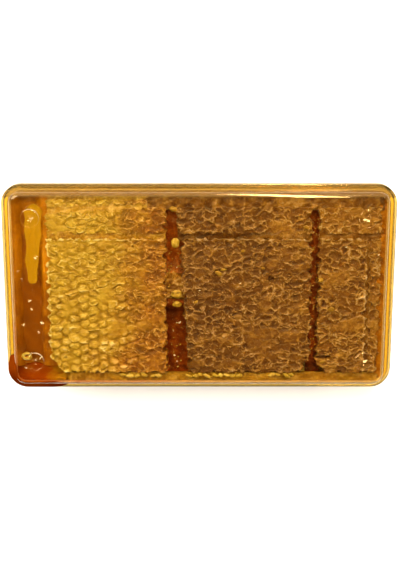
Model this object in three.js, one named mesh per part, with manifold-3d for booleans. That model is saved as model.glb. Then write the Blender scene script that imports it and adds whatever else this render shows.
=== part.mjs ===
// Comb honey in a clear box: three cut pieces of honeycomb, with the narrow strips
// trimmed from them, lie side by side in liquid honey under a clear raised lid.
// Millimetres, +Z up. The origin is under the middle of the box, at its base.

import * as THREE from 'three';
import { mergeVertices } from 'three/addons/utils/BufferGeometryUtils.js';
import Module from 'manifold-3d';

const wasm = await Module();
wasm.setup();

// ---- driving dimensions ----

const BOX_LENGTH = 211;          // over the lid's rim, along X
const BOX_WIDTH = 114;           // over the lid's rim, along Y
const CORNER_RADIUS = 11;        // of the rim, seen from above
const LEAST_RADIUS = 3;          // of a corner far inside the rim
const CORNER_STEPS = 6;          // flats that make one rounded corner
const SHEET = 1.2;               // wall thickness of tub and lid
const CLEAR = 0.3;               // air left between two pieces that touch

const TUB_RIM_Z = 32;            // top of the tub's flange
const TUB_FLANGE_INSET = 1.5;    // flange edge, in from the lid's rim
const TUB_WALL_INSET = 5;        // outside of the wall under the flange
const TUB_BASE_INSET = 7.5;      // outside of the wall at the base
const TUB_BASE_ROUND = 2;        // rounding where wall meets base

const LID_TOP_Z = 40;            // flat panel of the lid
const LID_PANEL_INSET_X = 5.6;   // where the flat panel ends, at the box's ends
const LID_PANEL_INSET_Y = 4.7;   // and along its sides
const LID_WALL_INSET = 3.5;      // foot of the slope round the panel
const LID_RIM_Z = 33.9;          // flat rim round the raised panel
const LID_EDGE_ROUND = 0.7;      // rounding of the rim's edges
const LID_SKIRT_Z = 28.6;        // lowest edge of the lid's skirt

const STUD_RADIUS = 5;           // four round stacking studs on the panel
const STUD_HEIGHT = 1.3;
const STUD_X = 89.5;
const STUD_Y = 39.8;
const STUD_SIDES = 14;

const COLUMN_STEP = 5.2;         // honeycomb cells: columns along X
const ROW_STEP = 4.8;            // and cells along Y in one column
const CELL_UNEVENNESS = 1.1;     // how far a cell's corners stray in all
const GROOVE_DEPTH = 1.5;        // between two domed cappings
const HOLLOW_DEPTH = 1.2;        // least depth of an open cell
const WAX_UNEVENNESS = 0.5;      // in the height of cappings and rims
const COMB_BASE_Z = 2.6;         // underside of the comb pieces
const COMB_TOP_Z = 38.3;         // highest wax, just under the lid
const TOOTH_LENGTH = 3.9;        // one tooth along a knife cut
const TOOTH_DEPTH = 0.55;        // how far a tooth stands out of the cut
const FILM = 0.7;                // honey between comb and wall

// The knife cuts run between these places.
const LEFT_PIECE = { x0: -81.5, x1: -17.5 };
const MIDDLE_PIECE = { x0: -8.5, x1: 60.3 };
const MIDDLE_BACK_STRIP = { x0: -12.1, x1: MIDDLE_PIECE.x1 };
const RIGHT_PIECE = { x0: 63.6, x1: 90 };
const END_STRIP = { x0: 91.2, x1: 97.4 };
const RIGHT_BACK_STRIP = { x0: RIGHT_PIECE.x0, x1: END_STRIP.x1 };
const SLIVER = { x0: -81, x1: -27 };

const MAIN_ROW = { y0: -46.8, y1: 28.4 };
const BACK_ROW = { y0: 31, y1: 45.4 };
const SLIVER_ROW = { y0: 46.9, y1: 49.4 };
const SLIVER_BASE_Z = 22;
const WEATHERED_X = -46;         // right of this the left piece has broken cappings

// Corners missing from the pieces, as lengths along X and Y. The long ones are cuts
// that run askew.
const LEFT_CORNER = [7.5, 9.5];
const GAP_CORNER = [4.6, 5.6];
const ASKEW_LEFT_CUT = [2.6, 34];
const ASKEW_BACK_CUT = [54, 3.2];
const SLIVER_FRONT_DROP = 1.8;   // the sliver is wider at its left end

const FLAKE_HEIGHT = 2.4;
const AIR_POCKET = { x: -87.8, y: 24, halfX: 4.2, halfY: 22, depth: 3.4, taper: 0.3 };

// ---- seeded random numbers ----

function makeRandom(seed) {
  let state = seed;
  return () => {
    state = (state * 1664525 + 1013904223) % 4294967296;
    return state / 4294967296;
  };
}

function stray(random, amount) {
  return amount * (random() - 0.5);
}

// ---- solids ----

function toSolid(geometry) {
  const bare = geometry.clone();
  bare.deleteAttribute('normal');
  bare.deleteAttribute('uv');
  const merged = mergeVertices(bare, 1e-5);
  return new wasm.Manifold(new wasm.Mesh({
    numProp: 3,
    vertProperties: new Float32Array(merged.attributes.position.array),
    triVerts: new Uint32Array(merged.index.array),
  }));
}

function toGeometry(solid) {
  const mesh = solid.getMesh();
  const geometry = new THREE.BufferGeometry();
  geometry.setAttribute('position', new THREE.BufferAttribute(new Float32Array(mesh.vertProperties), 3));
  geometry.setIndex(new THREE.BufferAttribute(new Uint32Array(mesh.triVerts), 1));
  return geometry;
}

function indexedGeometry(points, triangles) {
  const geometry = new THREE.BufferGeometry();
  geometry.setAttribute('position', new THREE.Float32BufferAttribute(points.flat(), 3));
  geometry.setIndex(triangles.flat());
  return geometry;
}

function extruded(outline, z0, z1) {
  const block = new THREE.ExtrudeGeometry(new THREE.Shape(outline), {
    depth: z1 - z0,
    bevelEnabled: false,
  });
  block.translate(0, 0, z0);
  return toSolid(block);
}

// One level of the box: a rounded rectangle, inset from the rim's outline by one
// number, or by one at the ends and another along the sides.
function roundedRing(inset, z) {
  const [insetX, insetY] = Array.isArray(inset) ? inset : [inset, inset];
  const radius = Math.max(CORNER_RADIUS - Math.max(insetX, insetY), LEAST_RADIUS);
  const centreX = BOX_LENGTH / 2 - insetX - radius;
  const centreY = BOX_WIDTH / 2 - insetY - radius;
  const ring = [];
  for (let corner = 0; corner < 4; corner++) {
    const signX = corner === 0 || corner === 3 ? 1 : -1;
    const signY = corner < 2 ? 1 : -1;
    for (let step = 0; step <= CORNER_STEPS; step++) {
      const angle = (corner + step / CORNER_STEPS) * Math.PI / 2;
      ring.push([
        signX * centreX + radius * Math.cos(angle),
        signY * centreY + radius * Math.sin(angle),
        z,
      ]);
    }
  }
  return ring;
}

// A closed body from a profile of [inset, z] points, which starts and ends on a
// flat face that reaches across the middle of the box.
function bodyFromProfile(profile) {
  const rings = profile.map(([inset, z]) => roundedRing(inset, z));
  const count = rings[0].length;
  const points = rings.flat();
  const first = points.push([0, 0, profile[0][1]]) - 1;
  const last = points.push([0, 0, profile[profile.length - 1][1]]) - 1;
  const top = (rings.length - 1) * count;
  const triangles = [];
  for (let i = 0; i < count; i++) {
    const next = (i + 1) % count;
    for (let low = 0; low < top; low += count) {
      const high = low + count;
      triangles.push([low + i, low + next, high + next]);
      triangles.push([low + i, high + next, high + i]);
    }
    triangles.push([first, next, i]);
    triangles.push([last, top + i, top + next]);
  }
  return indexedGeometry(points, triangles);
}

// ---- box ----

function tubGeometry() {
  const innerBase = TUB_BASE_INSET + SHEET;
  const soft = TUB_BASE_ROUND * 0.3;
  return bodyFromProfile([
    [TUB_BASE_INSET + TUB_BASE_ROUND, 0],
    [TUB_BASE_INSET + soft, soft],
    [TUB_BASE_INSET, TUB_BASE_ROUND],
    [TUB_WALL_INSET, TUB_RIM_Z - SHEET],
    [TUB_FLANGE_INSET, TUB_RIM_Z - SHEET],
    [TUB_FLANGE_INSET, TUB_RIM_Z],
    [TUB_WALL_INSET + SHEET, TUB_RIM_Z],
    [innerBase, TUB_BASE_ROUND + SHEET],
    [innerBase + soft, soft + SHEET],
    [innerBase + TUB_BASE_ROUND, SHEET],
  ]);
}

// The inset of the flat panel's edge, plus some more.
function panelInset(more) {
  return [LID_PANEL_INSET_X + more, LID_PANEL_INSET_Y + more];
}

// The lid's sheet: a raised panel, the slope down to the rim, and the skirt that
// hangs outside the tub's flange.
function lidShell() {
  const underRim = TUB_RIM_Z + CLEAR;
  const panelRound = LID_EDGE_ROUND;
  return bodyFromProfile([
    [panelInset(1), LID_TOP_Z - SHEET],
    [panelInset(0.6), LID_TOP_Z - SHEET - panelRound / 2],
    [LID_WALL_INSET + SHEET, underRim],
    [SHEET, underRim],
    [SHEET, LID_SKIRT_Z],
    [0, LID_SKIRT_Z],
    [0, LID_RIM_Z - LID_EDGE_ROUND],
    [LID_EDGE_ROUND, LID_RIM_Z],
    [LID_WALL_INSET - LID_EDGE_ROUND, LID_RIM_Z],
    [LID_WALL_INSET, LID_RIM_Z - LID_EDGE_ROUND],
    [panelInset(-panelRound / 2), LID_TOP_Z - panelRound],
    [panelInset(0.2), LID_TOP_Z],
  ]);
}

// A round stud with a softened edge, let into the panel by half its thickness.
function studSolid(x, y) {
  const profile = [
    new THREE.Vector2(0, -SHEET / 2),
    new THREE.Vector2(STUD_RADIUS, -SHEET / 2),
    new THREE.Vector2(STUD_RADIUS, STUD_HEIGHT * 0.5),
    new THREE.Vector2(STUD_RADIUS * 0.88, STUD_HEIGHT),
    new THREE.Vector2(0, STUD_HEIGHT),
  ];
  const stud = new THREE.LatheGeometry(profile, STUD_SIDES);
  stud.rotateX(Math.PI / 2);
  stud.translate(x, y, LID_TOP_Z);
  return toSolid(stud);
}

function lidGeometry() {
  let lid = toSolid(lidShell());
  for (const x of [-STUD_X, STUD_X]) {
    for (const y of [-STUD_Y, STUD_Y]) {
      lid = lid.add(studSolid(x, y));
    }
  }
  return toGeometry(lid);
}

// The space inside the shut box, kept a given gap away from its walls and its lid.
function insideSolid(gap, gapUnderLid = gap) {
  const base = TUB_BASE_INSET + SHEET + gap;
  const wall = TUB_WALL_INSET + SHEET + gap;
  const slopeStart = LID_TOP_Z - 4.4;
  return toSolid(bodyFromProfile([
    [base + TUB_BASE_ROUND, SHEET + gap],
    [base, TUB_BASE_ROUND + SHEET + gap],
    [wall, TUB_RIM_Z],
    [wall, slopeStart - gap],
    [panelInset(1.2 + gap), LID_TOP_Z - SHEET - gapUnderLid],
  ]));
}

// ---- honeycomb ----

// Seen from above, a piece is a rectangle that may lack corners.
function pieceCorners({ x0, x1 }, { y0, y1 }, { frontLeft, frontRight, backLeft } = {}) {
  const left = frontLeft
    ? [[x0, y0 + frontLeft[1]], [x0 + frontLeft[0], y0]]
    : [[x0, y0]];
  const right = frontRight
    ? [[x1 - frontRight[0], y0], [x1, y0 + frontRight[1]]]
    : [[x1, y0]];
  const back = backLeft
    ? [[x1, y1], [x0 + backLeft[0], y1], [x0, y1 - backLeft[1]]]
    : [[x1, y1], [x0, y1]];
  return [...left, ...right, ...back];
}

// The sliver is a wedge that fills the askew cut of the piece in front of it.
function sliverCorners({ x0, x1 }, { y0, y1 }) {
  return [[x0, y0 - SLIVER_FRONT_DROP], [x1, y0], [x1, y1], [x0, y1]];
}

// A knife cut from one corner to the next: a row of small teeth, one for each
// cell that the blade opened.
function cutEdge(start, end, random) {
  const length = Math.hypot(end[0] - start[0], end[1] - start[1]);
  const teeth = Math.max(1, Math.round(length / TOOTH_LENGTH));
  const outward = [(end[1] - start[1]) / length, (start[0] - end[0]) / length];
  const points = [];
  for (let i = 0; i < teeth; i++) {
    const along = (i + (i > 0 ? stray(random, 0.3) : 0)) / teeth;
    const inwards = i % 2 === 0 ? 0 : TOOTH_DEPTH * (0.5 + random());
    points.push(new THREE.Vector2(
      start[0] + (end[0] - start[0]) * along - outward[0] * inwards,
      start[1] + (end[1] - start[1]) * along - outward[1] * inwards,
    ));
  }
  return points;
}

function cutBlock(corners, z0, random) {
  const outline = corners.flatMap((corner, i) => (
    cutEdge(corner, corners[(i + 1) % corners.length], random)
  ));
  return extruded(outline, z0, COMB_TOP_Z + 1);
}

// The six corners of a cell round its centre: one on each side of the column,
// and four that it shares with the next cells in the column.
function cellCorners(x, y) {
  const side = COLUMN_STEP * 2 / 3;
  const end = COLUMN_STEP / 3;
  const half = ROW_STEP / 2;
  return [
    [x + side, y], [x + end, y + half], [x - end, y + half],
    [x - side, y], [x - end, y - half], [x + end, y - half],
  ];
}

function cellCentres({ x0, x1, y0, y1 }) {
  const centres = [];
  for (let column = Math.floor(x0 / COLUMN_STEP) - 1; column <= x1 / COLUMN_STEP + 1; column++) {
    const shift = column % 2 === 0 ? 0 : ROW_STEP / 2;
    for (let row = Math.floor(y0 / ROW_STEP) - 1; row <= y1 / ROW_STEP + 1; row++) {
      centres.push([column * COLUMN_STEP, row * ROW_STEP + shift]);
    }
  }
  return centres;
}

// A sheet of cells a little wider than the piece. A corner's height is the mean of
// what the cells that share it ask for.
function cellSheet(bounds, z0, form, random) {
  const points = [];
  const wishes = [];
  const known = new Map();
  const sharedCorner = ([x, y], lip) => {
    const key = `${Math.round(x * 50)},${Math.round(y * 50)}`;
    if (!known.has(key)) {
      known.set(key, points.length);
      points.push([x + stray(random, CELL_UNEVENNESS), y + stray(random, CELL_UNEVENNESS), 0]);
      wishes.push([]);
    }
    wishes[known.get(key)].push(lip);
    return known.get(key);
  };
  const cells = cellCentres(bounds).map(([x, y]) => {
    const { domed, lip, cap } = form(x, random);
    return { x, y, domed, cap, rim: cellCorners(x, y).map((corner) => sharedCorner(corner, lip)) };
  });
  wishes.forEach((lips, i) => {
    points[i][2] = lips.reduce((sum, lip) => sum + lip, 0) / lips.length;
  });
  const triangles = cells.flatMap((cell) => (
    cell.domed ? domeFaces(cell, points, random) : hollowFaces(cell, points, random)
  ));
  return closeUnderSheet(points, triangles, z0);
}

// A capping with a flat crown inside the cell's six corners.
function domeFaces({ x, y, cap, rim }, points, random) {
  const size = 0.56 + 0.14 * random();
  const crown = rim.map((corner) => points.push([
    x + (points[corner][0] - x) * size,
    y + (points[corner][1] - y) * size,
    cap,
  ]) - 1);
  const faces = [];
  for (let i = 0; i < 6; i++) {
    const next = (i + 1) % 6;
    faces.push([rim[i], rim[next], crown[next]], [rim[i], crown[next], crown[i]]);
    if (i > 0 && i < 5) {
      faces.push([crown[0], crown[i], crown[next]]);
    }
  }
  return faces;
}

// A hollow that falls from the six corners to one lowest point.
function hollowFaces({ x, y, cap, rim }, points, random) {
  const lowest = points.push([
    x + stray(random, CELL_UNEVENNESS),
    y + stray(random, CELL_UNEVENNESS),
    cap,
  ]) - 1;
  return rim.map((corner, i) => [corner, rim[(i + 1) % 6], lowest]);
}

// Gives a sheet of triangles that face up a flat underside and side walls.
function closeUnderSheet(points, triangles, z0) {
  const count = points.length;
  const all = points.concat(points.map(([x, y]) => [x, y, z0]));
  const faces = triangles.slice();
  const edges = new Set();
  for (const [a, b, c] of triangles) {
    faces.push([a + count, c + count, b + count]);
    edges.add(`${a},${b}`).add(`${b},${c}`).add(`${c},${a}`);
  }
  for (const edge of edges) {
    const [a, b] = edge.split(',').map(Number);
    if (!edges.has(`${b},${a}`)) {
      faces.push([a, a + count, b + count], [a, b + count, b]);
    }
  }
  return toSolid(indexedGeometry(all, faces));
}

// Capped cells stand as low domes with grooves between them.
function cappedCell(random) {
  return {
    domed: true,
    lip: COMB_TOP_Z - GROOVE_DEPTH - WAX_UNEVENNESS / 2 * random(),
    cap: COMB_TOP_Z - WAX_UNEVENNESS * random(),
  };
}

// Opened or sunken cells have a raised rim of wax round a hollow.
function openCell(random) {
  return {
    domed: false,
    lip: COMB_TOP_Z - WAX_UNEVENNESS * random(),
    cap: COMB_TOP_Z - HOLLOW_DEPTH * (1 + random()),
  };
}

function mostlyCapped(x, random) {
  return x > WEATHERED_X && random() < 0.4 ? openCell(random) : cappedCell(random);
}

function mostlyOpen(x, random) {
  return random() < 0.15 ? cappedCell(random) : openCell(random);
}

const CELL_FORMS = { yellowWax: mostlyCapped, brownWax: mostlyOpen };

function combGeometry({ corners, wax, z0 = COMB_BASE_Z }, seed) {
  const random = makeRandom(seed);
  const xs = corners.map(([x]) => x);
  const ys = corners.map(([, y]) => y);
  const bounds = {
    x0: Math.min(...xs), x1: Math.max(...xs),
    y0: Math.min(...ys), y1: Math.max(...ys),
  };
  const block = cutBlock(corners, z0, random);
  const sheet = cellSheet(bounds, z0 - 1, CELL_FORMS[wax], random);
  return toGeometry(block.intersect(sheet).intersect(insideSolid(CLEAR * 2 + FILM, CLEAR)));
}

// ---- wax flakes ----

// Flakes of torn capping that float at the top of the honey: some are the rim of
// one cell, some are lumps.
function flakeGeometry({ x, y, length, width, ring, turn }) {
  const flake = ring
    ? new THREE.TorusGeometry(1, 0.42, 5, 9)
    : new THREE.DodecahedronGeometry(1, 0);
  flake.computeBoundingBox();
  const size = flake.boundingBox.getSize(new THREE.Vector3());
  flake.scale(length / size.x, width / size.y, FLAKE_HEIGHT / size.z);
  flake.rotateZ(turn);
  flake.translate(x, y, COMB_TOP_Z - FLAKE_HEIGHT / 2);
  return toGeometry(toSolid(flake));
}

// The opening in the honey that a flake floats in.
function flakeOpening({ x, y, length, width, turn }) {
  const height = FLAKE_HEIGHT + 2;
  const opening = new THREE.CylinderGeometry(1, 1, height, 14);
  opening.rotateX(Math.PI / 2);
  opening.scale(length / 2 + 2 * CLEAR, width / 2 + 2 * CLEAR, 1);
  opening.rotateZ(turn);
  opening.translate(x, y, COMB_TOP_Z - FLAKE_HEIGHT - CLEAR + height / 2);
  return toSolid(opening);
}

// ---- honey ----

// A pocket of air under the lid, shaped like a tongue that narrows to the front.
function airPocketSolid() {
  const { x, y, halfX, halfY, depth, taper } = AIR_POCKET;
  const pocket = new THREE.SphereGeometry(1, 20, 8);
  const position = pocket.attributes.position;
  for (let i = 0; i < position.count; i++) {
    position.setX(i, position.getX(i) * (1 + taper * position.getY(i)));
  }
  pocket.scale(halfX, halfY, depth);
  pocket.translate(x, y, LID_TOP_Z - SHEET - CLEAR);
  return toSolid(pocket);
}

// The space a comb piece takes in the honey, open at the top.
function combPocket({ corners, z0 = COMB_BASE_Z }) {
  const middleX = corners.reduce((sum, [x]) => sum + x, 0) / corners.length;
  const middleY = corners.reduce((sum, [, y]) => sum + y, 0) / corners.length;
  const grown = corners.map(([x, y]) => new THREE.Vector2(
    x + CLEAR * Math.sign(x - middleX),
    y + CLEAR * Math.sign(y - middleY),
  ));
  return extruded(grown, z0 - CLEAR, LID_TOP_Z).intersect(insideSolid(CLEAR + FILM, -CLEAR));
}

function honeyGeometry(pieces, flakes) {
  const holes = [airPocketSolid(), ...pieces.map(combPocket), ...flakes.map(flakeOpening)];
  return toGeometry(holes.reduce((honey, hole) => honey.subtract(hole), insideSolid(CLEAR)));
}

// ---- the whole box ----

const PIECES = [
  {
    name: 'comb_left', wax: 'yellowWax',
    corners: pieceCorners(LEFT_PIECE, MAIN_ROW, { frontLeft: LEFT_CORNER }),
  },
  {
    name: 'comb_middle', wax: 'brownWax',
    corners: pieceCorners(MIDDLE_PIECE, MAIN_ROW, {
      frontLeft: ASKEW_LEFT_CUT, frontRight: GAP_CORNER,
    }),
  },
  {
    name: 'comb_right', wax: 'brownWax',
    corners: pieceCorners(RIGHT_PIECE, MAIN_ROW, { frontLeft: GAP_CORNER }),
  },
  { name: 'comb_end_strip', wax: 'brownWax', corners: pieceCorners(END_STRIP, MAIN_ROW) },
  {
    name: 'comb_left_back', wax: 'yellowWax',
    corners: pieceCorners(LEFT_PIECE, BACK_ROW, { backLeft: ASKEW_BACK_CUT }),
  },
  { name: 'comb_middle_back', wax: 'brownWax', corners: pieceCorners(MIDDLE_BACK_STRIP, BACK_ROW) },
  { name: 'comb_right_back', wax: 'brownWax', corners: pieceCorners(RIGHT_BACK_STRIP, BACK_ROW) },
  {
    name: 'comb_left_sliver', wax: 'yellowWax', z0: SLIVER_BASE_Z,
    corners: sliverCorners(SLIVER, SLIVER_ROW),
  },
];

const FLAKES = [
  { name: 'flake_pool', x: -94.2, y: -37.4, length: 6.2, width: 4.6, ring: true, turn: 0.4 },
  { name: 'flake_gap_back', x: -12.6, y: 26.2, length: 5.6, width: 4.4, ring: true, turn: 1.2 },
  { name: 'flake_gap_middle', x: -12.1, y: -2.4, length: 6.2, width: 4.6, ring: false, turn: 0.1 },
  { name: 'flake_gap_front', x: -11.9, y: -7.9, length: 5, width: 3.2, ring: false, turn: -0.2 },
];

const FINISHES = {
  clearPlastic: { color: '#f1e3bf', roughness: 0.08, metalness: 0 },
  honey: { color: '#9a4a08', roughness: 0.05, metalness: 0 },
  yellowWax: { color: '#c88e27', roughness: 0.5, metalness: 0 },
  brownWax: { color: '#84521c', roughness: 0.5, metalness: 0 },
};

const box = new THREE.Group();

function addPiece(name, geometry, finish) {
  const mesh = new THREE.Mesh(geometry, new THREE.MeshStandardMaterial(FINISHES[finish]));
  mesh.name = name;
  box.add(mesh);
}

addPiece('tub', tubGeometry(), 'clearPlastic');
addPiece('lid', lidGeometry(), 'clearPlastic');
addPiece('honey', honeyGeometry(PIECES, FLAKES), 'honey');
PIECES.forEach((piece, i) => addPiece(piece.name, combGeometry(piece, i + 11), piece.wax));
FLAKES.forEach((flake) => addPiece(flake.name, flakeGeometry(flake), 'yellowWax'));

export default box;
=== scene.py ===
"""Comb honey in a clear box: moulded polystyrene, amber honey and beeswax comb.

Sizes below are in millimetres, as a maker would say them. Meshes are made in
millimetres and scaled to metres when they become objects.
"""

import math
from functools import partial

import bmesh
import bpy
import numpy as np
from mathutils import Matrix, Vector


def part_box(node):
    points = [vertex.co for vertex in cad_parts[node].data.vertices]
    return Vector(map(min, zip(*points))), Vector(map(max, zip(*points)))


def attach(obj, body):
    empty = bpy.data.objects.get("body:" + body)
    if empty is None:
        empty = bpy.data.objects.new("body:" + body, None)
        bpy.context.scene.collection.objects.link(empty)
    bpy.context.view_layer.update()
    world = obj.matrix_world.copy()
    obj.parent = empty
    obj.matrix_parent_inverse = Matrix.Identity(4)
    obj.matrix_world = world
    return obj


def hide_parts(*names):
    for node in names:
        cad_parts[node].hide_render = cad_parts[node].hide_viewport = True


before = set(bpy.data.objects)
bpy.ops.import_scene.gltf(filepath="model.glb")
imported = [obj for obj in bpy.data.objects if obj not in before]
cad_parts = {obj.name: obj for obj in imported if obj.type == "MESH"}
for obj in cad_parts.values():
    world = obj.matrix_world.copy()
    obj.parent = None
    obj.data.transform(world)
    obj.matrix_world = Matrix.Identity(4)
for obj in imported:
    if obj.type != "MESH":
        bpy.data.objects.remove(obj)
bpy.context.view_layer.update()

MM = 0.001


def box_mm(node):
    """Lowest and highest corner of a CAD node, in millimetres."""
    low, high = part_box(node)
    return np.array(low) / MM, np.array(high) / MM


# ---- sizes taken from the frame ----

LID_LOW, LID_HIGH = box_mm("lid")
HALF_LENGTH, HALF_WIDTH = LID_HIGH[:2]
SKIRT_Z = LID_LOW[2]
TUB_RIM_Z = box_mm("tub")[1][2]
CLEAR = 0.3                       # gap between touching CAD pieces
SHEET = 1.2                       # wall of tub and lid
PANEL_Z = box_mm("honey")[1][2] + CLEAR + SHEET
PANEL_UNDER_Z = PANEL_Z - SHEET

# ---- sizes of the moulding ----

CORNER_RADIUS = 11.0
LEAST_RADIUS = 3.0
CORNER_STEPS = 14
FLANGE_INSET = 1.5
TUB_WALL_INSET = 5.0
TUB_BASE_INSET = 7.5
BASE_ROUND = 2.0
PANEL_INSET = 6.4
SLOPE_FOOT_INSET = 3.5
RIM_Z = 33.9
PANEL_SPREAD = (0.8, 1.7)         # how much wider the raised panel is than its inset says
STUD = {"x": 89.5, "y": 39.8, "radius": 5.0, "height": LID_HIGH[2] - PANEL_Z}
WALL_BITE = 0.12                  # how far the honey reaches into the wall
LID_UNDER_Z = TUB_RIM_Z + CLEAR   # underside of the lid's rim
LID_LEAN = (PANEL_INSET + 0.6 - SLOPE_FOOT_INSET - SHEET) / (PANEL_UNDER_Z - LID_UNDER_Z)

# ---- sizes of the comb ----

COLUMN_STEP = 5.2
ROW_STEP = 4.8
CELL_PITCH = math.sqrt(COLUMN_STEP * ROW_STEP * 2 / math.sqrt(3))
GRAIN = 0.35                      # mesh width on the faces of the comb
SMEAR_GRAIN = 0.45                # mesh width of what the knife has smeared
SMEAR_DEPTH = 3.0
WALL_GAP = 0.45                   # between what is smeared and the wall


# ---- colours ----

def linear(hex_colour):
    """sRGB hex to the linear colour that shaders take."""
    channels = [int(hex_colour[i:i + 2], 16) / 255 for i in (1, 3, 5)]
    return [c / 12.92 if c <= 0.04045 else ((c + 0.055) / 1.055) ** 2.4 for c in channels] + [1.0]


# ---- small helpers for materials ----

def add_node(tree, kind, settings=None, links=None):
    """Adds a node, sets its inputs or properties, and links its inputs."""
    node = tree.nodes.new(kind)
    for name, value in (settings or {}).items():
        if isinstance(name, int) or name in node.inputs:
            node.inputs[name].default_value = value
        else:
            setattr(node, name, value)
    for name, source in (links or {}).items():
        tree.links.new(source, node.inputs[name])
    return node


def new_material(name):
    material = bpy.data.materials.new(name)
    material.use_nodes = True
    material.node_tree.nodes.clear()
    return material, material.node_tree


def fill_ramp(ramp, stops):
    """Gives a colour ramp its stops, as (place, hex colour)."""
    elements = ramp.color_ramp.elements
    while len(elements) > 1:
        elements.remove(elements[-1])
    elements[0].position, elements[0].color = stops[0][0], linear(stops[0][1])
    for place, colour in stops[1:]:
        elements.new(place).color = linear(colour)


# ---- materials ----

def clear_stuff(name, tint, roughness, ior, cast="#ffffff", soaking=None):
    """Glass that a shadow ray passes straight, so that what is inside is lit. A ray
    crosses two faces of a sheet, so each takes the square root of the tint. cast is
    the tint of its reflections, and soaking is what its depth takes from the light."""
    material, tree = new_material(name)
    glass = add_node(tree, "ShaderNodeBsdfPrincipled", {
        "Base Color": linear(tint), "Roughness": roughness, "IOR": ior,
        "Specular Tint": linear(cast), "Transmission Weight": 1.0})
    root = [math.sqrt(c) for c in linear(tint)[:3]] + [1.0]
    straight = add_node(tree, "ShaderNodeBsdfTransparent", {"Color": root})
    path = add_node(tree, "ShaderNodeLightPath")
    surface = add_node(tree, "ShaderNodeMixShader", links={
        0: path.outputs["Is Shadow Ray"], 1: glass.outputs[0], 2: straight.outputs[0]})
    output = add_node(tree, "ShaderNodeOutputMaterial", links={"Surface": surface.outputs[0]})
    if soaking:
        volume = add_node(tree, "ShaderNodeVolumeAbsorption", soaking)
        tree.links.new(volume.outputs[0], output.inputs["Volume"])
    return material


def clear_polystyrene():
    """Crystal polystyrene, injection moulded and polished: hard, sharp reflections
    and a faint warm cast where the sheet is seen edge on."""
    return clear_stuff("clear_polystyrene", "#f6e9c8", 0.03, 1.59, cast="#ffdf9f")


def liquid_honey():
    """Clear run honey: gold in a thin film, amber at a centimetre, and deep
    red-brown through the whole depth of the box."""
    return clear_stuff("liquid_honey", "#ffffff", 0.02, 1.49,
                       soaking={"Color": (0.88, 0.74, 0.083, 1), "Density": 66.0})


def honey_film(name, tint):
    """Honey that has crept between lid and tub: too thin for its depth to colour
    it, so the colour is its own."""
    return clear_stuff(name, tint, 0.05, 1.49)


def beeswax(name, young, old, roughness=0.42, shine=0.3):
    """Beeswax comb, and honey clouded with wax. Colour follows the height stored in 'tone': what stands up is
    painted lighter, a painted highlight, and hollows darker, partly the honey they hold and partly painted
    shade. Older wax and wax soaked with honey is browner: that is stored in 'age'."""
    material, tree = new_material(name)
    place = add_node(tree, "ShaderNodeTexCoord")
    varied = []
    for stored, patch_mm, swing in (("tone", 1.1, 0.30), ("age", 9.0, 0.9)):
        value = add_node(tree, "ShaderNodeAttribute", {"attribute_name": stored})
        patch = add_node(tree, "ShaderNodeTexNoise", {"Scale": 1 / (patch_mm * MM), "Detail": 2.0},
                         {"Vector": place.outputs["Object"]})
        drift = add_node(tree, "ShaderNodeMath", {"operation": "MULTIPLY_ADD", 1: swing, 2: -swing / 2},
                         {0: patch.outputs["Fac"]})
        varied.append(add_node(tree, "ShaderNodeMath", {"operation": "ADD", "use_clamp": True},
                               {0: value.outputs["Fac"], 1: drift.outputs[0]}))
    height, soaked = varied
    young_ramp, old_ramp = [add_node(tree, "ShaderNodeValToRGB", links={0: height.outputs[0]})
                            for _ in range(2)]
    fill_ramp(young_ramp, young)
    fill_ramp(old_ramp, old)
    colour = add_node(tree, "ShaderNodeMix", {"data_type": "RGBA"})
    tree.links.new(soaked.outputs[0], colour.inputs[0])
    tree.links.new(young_ramp.outputs["Color"], colour.inputs[6])
    tree.links.new(old_ramp.outputs["Color"], colour.inputs[7])
    wax = add_node(tree, "ShaderNodeBsdfPrincipled", {
        "Roughness": roughness, "Specular IOR Level": shine},
        {"Base Color": colour.outputs[2]})
    add_node(tree, "ShaderNodeOutputMaterial", links={"Surface": wax.outputs[0]})
    return material


def plain_stuff(name, colour, settings):
    material, tree = new_material(name)
    skin = add_node(tree, "ShaderNodeBsdfPrincipled", {"Base Color": linear(colour), **settings})
    add_node(tree, "ShaderNodeOutputMaterial", links={"Surface": skin.outputs[0]})
    return material


def glow_wax_film():
    """A skin of wax and foam whose bright yellow is painted light: it stands in for light shining through the
    honey under it.
    """
    return plain_stuff("amber_wax_film", "#9c7906", {"Roughness": 0.35, "Specular IOR Level": 0.15})


def foam_and_glints():
    """White froth of tiny air bubbles under the lid, put where glints belong: partly froth, partly painted
    highlights such as the glints on the studs.
    """
    return plain_stuff("foam_and_glints", "#fff8e4", {"Roughness": 0.3})


def plain_floor():
    """A matt white table top, which glows a little so that it stays white."""
    return plain_stuff("white_table", "#fbfaf8", {
        "Roughness": 0.8, "Emission Color": (1, 1, 1, 1), "Emission Strength": 0.50})


# ---- meshes ----

def smoothstep(low, high, x):
    t = np.clip((x - low) / (high - low), 0, 1)
    return t * t * (3 - 2 * t)


def xyz(x, y, z):
    """Rows of coordinates as points. Any of the three may be one number."""
    return np.stack(np.broadcast_arrays(x, y, z), axis=1)


def bump(distance, width):
    """1 at no distance, and falling off softly over a width."""
    return np.exp(-(distance / width) ** 2)


def numbered(rings, count, start=0):
    """Point numbers of rings that follow each other."""
    return list(start + np.arange(rings * count).reshape(rings, count))


def wrap(rings, flip=False):
    """Faces between rings of point numbers, from each ring to the next."""
    order = [0, 3, 2, 1] if flip else [0, 1, 2, 3]
    faces = []
    for above, below in zip(rings, rings[1:]):
        quads = np.stack([above, below, np.roll(below, -1), np.roll(above, -1)], axis=1)
        faces += quads[:, order].tolist()
    return faces


def edge_loop(columns, rows):
    """Indexes of a grid's outer points, once round."""
    front = list(range(columns))
    right = [j * columns + columns - 1 for j in range(1, rows)]
    back = [(rows - 1) * columns + i for i in range(columns - 2, -1, -1)]
    left = [j * columns for j in range(rows - 2, 0, -1)]
    return np.array(front + right + back + left)


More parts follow.
